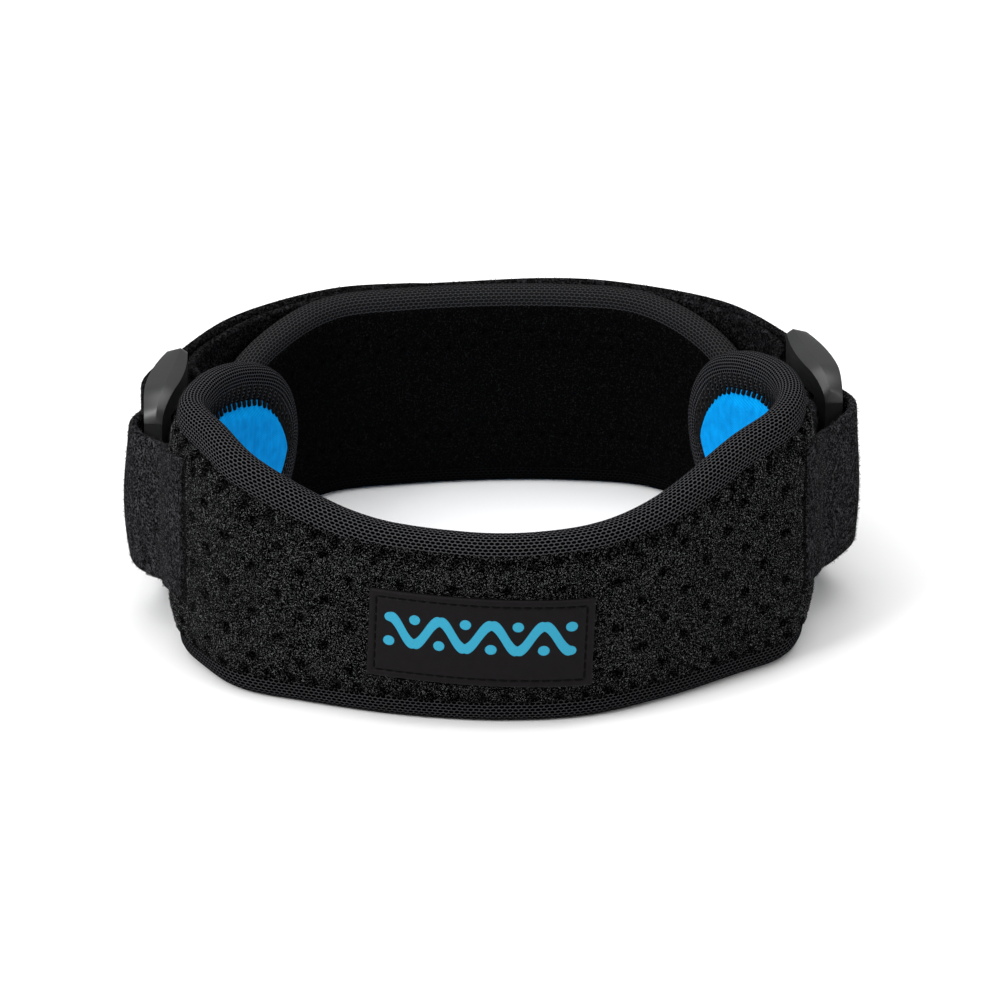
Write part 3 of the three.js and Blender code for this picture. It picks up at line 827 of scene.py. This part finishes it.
def lining_shape(s, t):
    end = 4.6
    turned = 0.5 - 0.5 * np.cos(np.clip(s, 0, 1) * math.pi)
    run = end + 0.001 + (0.75 * s + 0.25 * turned) * (front_line.length - 2 * end - 0.002)
    bottom, top = front.limits(run, end)
    height = bottom + (top - bottom) * t
    inset = front.inset(run, height)
    wider = END_WIDENING * smooth(20, 6, np.minimum(run, front_line.length - run))
    deep = -(HALF_BINDING - 0.3 + 1.35 * smooth(6.3, 9.6, inset - wider))
    face = front_line.place(run, height, deep)
    hidden = front_line.place(run, height, deep + 0.45)
    return hidden, face, np.stack([run, height], 1)


lining = thick_sheet("lining_knit", 300, 48, lining_shape)
finish_piece(lining, "front_lining", slot="blue_knit", material=KNIT)


# The mesh tape round the pads

FACE_STEPS = 9
FOLD_STEPS = 11


def tape_section():
    """The tape's section as (in from the edge, out from the plan line), and lengths along it."""
    fold = 2.3
    share = np.linspace(0, 1, FACE_STEPS, endpoint=False)
    outer_in = BINDING_WIDTH + (fold - BINDING_WIDTH) * share
    inner_in = (INNER_BINDING_WIDTH + (fold - INNER_BINDING_WIDTH) * share)[::-1]
    face_out = HALF_BINDING - 0.4 * (1 - share) ** 4 + 0.12 * np.sin(math.pi * share)
    turn = np.linspace(0, math.pi, FOLD_STEPS)
    fold_in = fold * (1 - np.sin(turn))
    fold_out = HALF_BINDING * np.sign(np.cos(turn)) * np.abs(np.cos(turn)) ** 0.85
    outside = np.stack([np.concatenate([outer_in, fold_in, inner_in]),
                        np.concatenate([face_out, fold_out, -face_out[::-1]])], 1)
    pocket = HALF_BINDING - TAPE
    inside = np.array([(INNER_BINDING_WIDTH, -pocket + 0.3), (3, -pocket), (TAPE + 0.4, -pocket * 0.8),
                       (TAPE, 0), (TAPE + 0.4, pocket * 0.8), (3, pocket), (BINDING_WIDTH, pocket - 0.3)])
    section = np.vstack([outside, inside])
    closed = np.vstack([section, section[:1]])
    lengths = np.concatenate([[0], np.cumsum(np.linalg.norm(np.diff(closed, axis=0), axis=1))])
    return section, lengths


def tape_round(name, pad):
    section, lengths = tape_section()
    around = len(section)
    along = 1100
    total = pad.edge_runs[-1]
    step = total / along

    def shape(i, j):
        drift = 0.12 * np.sin(i * step * 0.21) + 0.08 * np.sin(i * step * 0.57 + 1)
        lip = np.clip((section[j, 0] - 3) / (BINDING_WIDTH - 3), 0, 1)
        lip_in = section[j, 0] + drift * lip
        inside = (section[j, 1] < -1) * lip
        run, height = pad.on_edge(i * step, lip_in + pad.widening(i * step) * inside)
        return pad.line.place(run, height, section[j, 1])

    holes = round(total / NET_PITCH)
    places = np.linspace(0, holes * NET_PITCH, along + 1)
    return folded_ring(name, along, around, shape, places, lengths)


front_tape = tape_round("front_tape", front)
finish_piece(front_tape, "front_binding", slot="mesh_tape", material=MESH)
back_tape = tape_round("back_tape", back)
finish_piece(back_tape, "back_binding", slot="mesh_tape", material=SHADED_BACK_MESH)


def lining_stitches():
    """Black overlock stitches over the edge of the blue lining."""
    total = front.edge_runs[-1]
    along = np.arange(0, total, 2.4)
    chance = np.random.default_rng(4)
    reach = 7.4 + chance.uniform(-0.2, 0.2, len(along))
    rows = [(0, 3.4, 0.0, 0.1, 6.65, -0.2), (0.1, 6.3, -0.15, 0.4, reach, 0.2)]
    starts, ends, normals = [], [], []
    for begin, low, low_out, finish, high, high_out in rows:
        wider = front.widening(along)
        run, height = front.on_edge(along + begin, low + wider)
        starts.append(front_line.place(run, height, -HALF_BINDING - low_out))
        deeper = front_line.place(run, height, -HALF_BINDING - 2.0)
        normals.append(deeper - front_line.place(run, height, -HALF_BINDING))
        run, height = front.on_edge(along + finish, high + wider)
        ends.append(front_line.place(run, height, -HALF_BINDING - high_out))
    normals = np.vstack(normals)
    normals /= np.linalg.norm(normals, axis=1)[:, None]
    return threads("lining_stitches", np.vstack(starts), np.vstack(ends), normals, 0.4 * MM, 0.08 * MM)


finish_piece(lining_stitches(), slot="mesh_tape", material=DARK_THREAD)


# The label patch

LABEL_STITCH = 1.25


def label_seat(x, y):
    """Run, height and distance out of the pad's face at places on the label."""
    run = front_line.length / 2 + LABEL_SHIFT + x * math.cos(LABEL_TILT) + y * math.sin(LABEL_TILT)
    height = LABEL_CENTRE - x * math.sin(LABEL_TILT) + y * math.cos(LABEL_TILT)
    return run, height, HALF_BINDING + FRONT_PUFF + 0.25 + 0 * run


def label_shape(s, t):
    x = (s - 0.5) * LABEL_LENGTH
    y = (t - 0.5) * LABEL_HEIGHT
    from_edge = np.minimum(LABEL_LENGTH / 2 - np.abs(x), LABEL_HEIGHT / 2 - np.abs(y))
    groove = 0.22 * smooth(0.35, 0.05, np.abs(from_edge - LABEL_STITCH))
    lip = 0.3 * smooth(0.35, 0.0, from_edge)
    run, height, seat = label_seat(x, y)
    outer = front_line.place(run, height, seat + 0.85 - groove - lip)
    inner = front_line.place(run, height, seat)
    return outer, inner, np.stack([x, y], 1)


label = thick_sheet("label_cloth", 220, 100, label_shape)
finish_piece(label, "label_patch", slot="label_cloth", material=LABEL)


def label_stitches():
    half_x = LABEL_LENGTH / 2 - LABEL_STITCH
    half_y = LABEL_HEIGHT / 2 - LABEL_STITCH
    corners = [(-half_x, -half_y), (half_x, -half_y), (half_x, half_y), (-half_x, half_y)]
    starts, ends = [], []
    for a, b in zip(corners, corners[1:] + corners[:1]):
        a, b = np.array(a), np.array(b)
        count = round(np.linalg.norm(b - a) / 1.7)
        for step in range(count):
            starts.append(a + (b - a) * (step + 0.1) / count)
            ends.append(a + (b - a) * (step + 0.9) / count)
    points = []
    for spots in (np.array(starts), np.array(ends)):
        run, height, seat = label_seat(spots[:, 0], spots[:, 1])
        points.append(front_line.place(run, height, seat + 0.62))
    run, height, seat = label_seat(np.array(starts)[:, 0], np.array(starts)[:, 1])
    normal = front_line.place(run, height, seat + 3) - front_line.place(run, height, seat)
    normal /= np.linalg.norm(normal, axis=1)[:, None]
    return threads("label_stitches", points[0], points[1], normal, 0.14 * MM, 0.1 * MM)


finish_piece(label_stitches(), slot="label_cloth", material=LABEL_THREAD)


# Buckles

def buckle_spot(side, back, out):
    turn = math.radians(side["turn"])
    x = side["hand"] * side["across"] * FRONT_WIDTH / 2
    x = x + side["hand"] * (out * math.cos(turn) - back * math.sin(turn))
    y = (side["back"] - 0.5) * RING_DEPTH + back * math.cos(turn) + out * math.sin(turn)
    return x, y


def crescent_half(back):
    share = 0.5 + back / BUCKLE_LENGTH
    return BUCKLE_END / 2 + 2 * (BUCKLE_MIDDLE - BUCKLE_END) * share * (1 - share)


LAYER_OUT = crescent_half(BAR_MIDDLE - BUCKLE_BAR / 2) + 0.35 + STRAP_THICKNESS / 2


def make_buckle(name, side):
    half_long = BUCKLE_LENGTH / 2
    half_window = half_long - BUCKLE_BAR
    slot_high = STRAP_WIDTH / 2 + SLOT
    half_high = slot_high + BUCKLE_RAIL
    front_steps = np.array([0, 0.5, 1.2, 2.1, 3.2, 4.0])
    columns = np.concatenate([-half_long + front_steps, np.linspace(-half_window, half_window, 21),
                              half_long - np.array([3.4, 2.2, 1.2, 0.55, 0])])
    rows = np.concatenate([[-half_high, -half_high + 1.5, -slot_high], np.linspace(-slot_high, slot_high, 9)[1:-1],
                           [slot_high, half_high - 1.5, half_high]])
    deselect()
    bpy.ops.mesh.primitive_grid_add(x_subdivisions=len(columns) - 1, y_subdivisions=len(rows) - 1, size=2)
    piece = take_new(name)
    spots = np.array([tuple(v.co) for v in piece.data.vertices])
    column = np.round((spots[:, 0] + 1) / 2 * (len(columns) - 1)).astype(int)
    row = np.round((spots[:, 1] + 1) / 2 * (len(rows) - 1)).astype(int)
    set_points(piece, np.stack([columns[column], rows[row], 0 * spots[:, 0]], 1))
    bpy.ops.object.mode_set(mode="EDIT")
    bpy.ops.mesh.select_mode(type="FACE")
    bpy.ops.mesh.select_all(action="DESELECT")
    bpy.ops.object.mode_set(mode="OBJECT")
    for face in piece.data.polygons:
        face.select = abs(face.center.x) < half_window and abs(face.center.y) < slot_high
    bpy.ops.object.mode_set(mode="EDIT")
    bpy.ops.mesh.delete(type="FACE")
    bpy.ops.mesh.select_all(action="SELECT")
    bpy.ops.mesh.extrude_region_move(TRANSFORM_OT_translate={"value": (0, 0, 1)})
    bpy.ops.mesh.extrude_region_move(TRANSFORM_OT_translate={"value": (0, 0, 1)})
    bpy.ops.object.mode_set(mode="OBJECT")
    face_outward(piece)
    spots = np.array([tuple(v.co) for v in piece.data.vertices])
    along, high = spots[:, 0], spots[:, 1]
    level = np.interp(spots[:, 2], [0, 1, 2], [-1, RIDGE_PLACE, 1])
    front_share = np.clip((-half_long + BUCKLE_SLOPE - along) / BUCKLE_SLOPE, 0, 1)
    rear_share = np.clip((along - half_long + BUCKLE_TIP) / BUCKLE_TIP, 0, 1)
    drop = BUCKLE_CORNER * (1 - np.sqrt(1 - front_share ** 2)) + BUCKLE_TIP * (1 - np.sqrt(1 - rear_share ** 2))
    rail_share = np.clip((np.abs(high) - slot_high) / BUCKLE_RAIL, 0, 1)
    ridge = RIDGE_RISE * (np.abs(spots[:, 2] - 1) < 0.5) * (np.abs(high) > half_high - 0.01)
    high = high - np.sign(high) * ((drop + RIDGE_RISE * 0.4) * rail_share - ridge)
    out = level * crescent_half(along)
    x, y = buckle_spot(side, along, out)
    set_points(piece, np.stack([x + MIDDLE_X, y + MIDDLE_Y, high + STRAP_LIFT + STRAP_WIDTH / 2], 1) * MM)
    face_outward(piece)
    only(piece)
    bevel = piece.modifiers.new("edges", "BEVEL")
    bevel.width = 0.55 * MM
    bevel.segments = 3
    bevel.limit_method = "ANGLE"
    bevel.angle_limit = math.radians(27)
    bevel.harden_normals = False
    bpy.ops.object.modifier_apply(modifier=bevel.name)
    bpy.ops.object.shade_smooth_by_angle(angle=math.radians(30))
    return piece


for side_name, side in SIDES.items():
    buckle = make_buckle(f"{side_name}_buckle_moulding", side)
    finish_piece(buckle, f"{side_name}_buckle", slot="buckle_plastic", material=PLASTIC)


# Webbing

def turn_spots(side, end, outward):
    spots = []
    for degrees in (45, 90, 135):
        angle = math.radians(degrees)
        back_by = end * (TURN_BACK - LAYER_OUT * math.sin(angle))
        spots.append(buckle_spot(side, back_by, math.cos(angle) * (outward if degrees < 90 else LAYER_OUT)))
    return spots


def side_strap_line(side):
    half = front_line.length / 2
    seat = HALF_BINDING + FRONT_PUFF + CLEARANCE + STRAP_THICKNESS / 2
    hand = side["hand"]
    root = half + hand * side["root"] * half
    seam = half + hand * SEAM_SHARE * half
    return PlanLine([
        front_line.spot(seam, seat - 2.0),
        front_line.spot(seam + hand * 3, seat - 1.35),
        front_line.spot((seam + root) / 2 + hand * 1.5, seat - 0.75),
        front_line.spot(root, seat + 0.35),
        buckle_spot(side, -BAR_MIDDLE - BUCKLE_BAR, LAYER_OUT * 0.62),
        buckle_spot(side, -BAR_MIDDLE, LAYER_OUT * 1.1),
        buckle_spot(side, -TURN_BACK, LAYER_OUT),
        *turn_spots(side, -1, LAYER_OUT),
        buckle_spot(side, -TURN_BACK, -LAYER_OUT),
        buckle_spot(side, -BAR_MIDDLE, -LAYER_OUT),
        front_line.spot(root + hand * SEWN_RUN, seat),
    ], hand)


def back_strap_line(side):
    half = back_line.length / 2
    hand = side["hand"]
    seat = HALF_BINDING + BACK_PUFF + CLEARANCE + STRAP_THICKNESS / 2
    reach = half * BACK_REACH
    bow = side["bow"] * STRAP_THICKNESS / LAYER
    outermost = LAYER_OUT + side["bulge"] * STRAP_THICKNESS

    def on_pad(run, level):
        return back_line.spot(half + hand * run, seat + level * LAYER)

    return PlanLine([
        *[on_pad(reach * along, bow * share) for along, share in INNER_LAYER],
        buckle_spot(side, BAR_MIDDLE + BUCKLE_BAR / 2, -LAYER_OUT),
        buckle_spot(side, TURN_BACK, -LAYER_OUT),
        *turn_spots(side, 1, outermost)[::-1],
        buckle_spot(side, TURN_BACK, outermost),
        buckle_spot(side, BAR_MIDDLE + BUCKLE_BAR / 2, outermost),
        *[on_pad(reach * along, 1 + bow * share + side["lift"] * raised) for along, share, raised in OUTER_LAYER],
        on_pad(-side["lap"] * STRAP_WIDTH, 1 + side["lift"]),
    ], -hand)


def webbing(name, line, crown, rise, drop, along):
    """Webbing on edge along a plan line, with thin rounded edges. It may rise towards its first end
    and drop towards its last one."""
    def shape(s, t):
        run = s * line.length
        u = 2 * t - 1
        width = np.sin(u * math.pi / 2)
        height = STRAP_LIFT + STRAP_WIDTH * (0.5 + 0.5 * width) + rise * smooth(RISE_RUN, 0, run)
        height = height - drop * smooth(30, 0, line.length - run)
        from_edge = STRAP_WIDTH * 0.5 * (1 - np.abs(width))
        half = STRAP_THICKNESS / 2 * np.sqrt(np.clip(1 - (1 - np.clip(from_edge / 0.8, 0, 1)) ** 2, 0, 1))
        half = half * (0.3 + 0.7 * smooth(0, 4, line.length - run))
        swell = crown * np.interp(run, [11, 17, 26, 32], [0, 1, 1, 0]) * np.cos(width * math.pi / 2)
        ripple = 0.1 * np.sin(run * 0.35 + 2 * width) * smooth(0, 6, from_edge)
        place = swell + ripple
        return (line.place(run, height, place + half), line.place(run, height, place - half - 0.001),
                np.stack([run, height], 1))

    return thick_sheet(name, along, 36, shape)


for side_name, side in SIDES.items():
    side_line = side_strap_line(side)
    band = webbing(f"{side_name}_side_webbing", side_line, STRAP_CROWN, SEAM_RISE, 0.0, 190)
    finish_piece(band, f"{side_name}_side_strap", slot="strap_webbing", material=WEBBING)
    drop = FREE_END_DROP * (side["lap"] > 0)
    back_strap = webbing(f"{side_name}_back_webbing", back_strap_line(side), 0.0, 0.0, drop, 320)
    finish_piece(back_strap, f"{side_name}_back_strap", slot="strap_webbing", material=SHADED_BACK_WEBBING)


# Loose fibres of the brushed cloths

def scatter(piece, count, seed, keep):
    """Evenly random places on the faces of a piece that keep accepts, with their normals."""
    mesh = piece.data
    chance = np.random.default_rng(seed)
    centres = np.empty(len(mesh.polygons) * 3, dtype=np.float32)
    normals = np.empty(len(mesh.polygons) * 3, dtype=np.float32)
    areas = np.empty(len(mesh.polygons), dtype=np.float32)
    mesh.polygons.foreach_get("center", centres)
    mesh.polygons.foreach_get("normal", normals)
    mesh.polygons.foreach_get("area", areas)
    centres, normals = centres.reshape(-1, 3), normals.reshape(-1, 3)
    weights = areas * keep(centres / MM, normals)
    if "hollow" in mesh.attributes:
        depth = np.empty(len(mesh.vertices), dtype=np.float32)
        mesh.attributes["hollow"].data.foreach_get("value", depth)
        weights = weights * (depth[corner_points(piece)].reshape(-1, 4).max(axis=1) < 0.15)
    picked = chance.choice(len(areas), size=count, p=weights / weights.sum())
    size = np.sqrt(areas[picked])[:, None]
    wander = chance.uniform(-0.5, 0.5, (count, 3)) * size
    wander -= normals[picked] * np.sum(wander * normals[picked], axis=1)[:, None]
    return centres[picked] + wander, normals[picked]


def outer_of(line, low, inset_pad=None):
    """Accepts faces that look away from the plan line's inner side."""
    def keep(centres, normals):
        x, y = centres[:, 0] - MIDDLE_X, centres[:, 1] - MIDDLE_Y
        nearest = np.empty(len(x), dtype=int)
        spots = line.spots[::6]
        for part in np.array_split(np.arange(len(x)), max(1, len(x) // 8000)):
            nearest[part] = np.argmin(np.hypot(x[part, None] - spots[:, 0], y[part, None] - spots[:, 1]), axis=1)
        outward = line.normals[::6][nearest]
        facing = normals[:, 0] * outward[:, 0] + normals[:, 1] * outward[:, 1]
        accept = facing * low > 0.25
        if inset_pad is not None:
            runs = line.runs[::6][nearest]
            accept &= inset_pad.inset(runs, centres[:, 2]) > 4.9
        return accept.astype(float)
    return keep


def add_pile(piece, name, count, seed, keep, length, radius, lean, material, slot):
    roots, normals = scatter(piece, count, seed, keep)
    hairs = pile(name, roots, normals, seed + 100, length * MM, radius * MM, lean)
    finish_piece(hairs, slot=slot, material=material)


def front_half(hand):
    """Accepts the front pad's outer face on one side of the middle."""
    outer = outer_of(front_line, 1, front)
    return lambda centres, normals: outer(centres, normals) * (centres[:, 0] * hand > 0)


for side_name, side in SIDES.items():
    add_pile(front_pad, f"front_pile_{side_name}", 30000, 11 + side["hand"], front_half(side["hand"]),
             0.42, 0.036, (0.1, 0.7), FIBRE, "pile_cloth")
add_pile(back_pad, "back_pile", 6000, 14, outer_of(back_line, -1, back), 0.4, 0.036, (0.1, 0.7), SHADED_BACK_FIBRE, "pile_cloth")
for index, (side_name, side) in enumerate(SIDES.items()):
    for part, count in (("side", 6000), ("back", 9000)):
        strap = bpy.data.objects[f"{side_name}_{part}_webbing"]
        add_pile(strap, f"{side_name}_{part}_nap", count, 20 + index * 2 + (part == "back"),
                 lambda centres, normals: np.ones(len(centres)), 0.6, 0.04, (0.2, 1.0),
                 SOFT_FIBRE if part == "side" else SHADED_BACK_SOFT_FIBRE, "strap_webbing")


deselect()
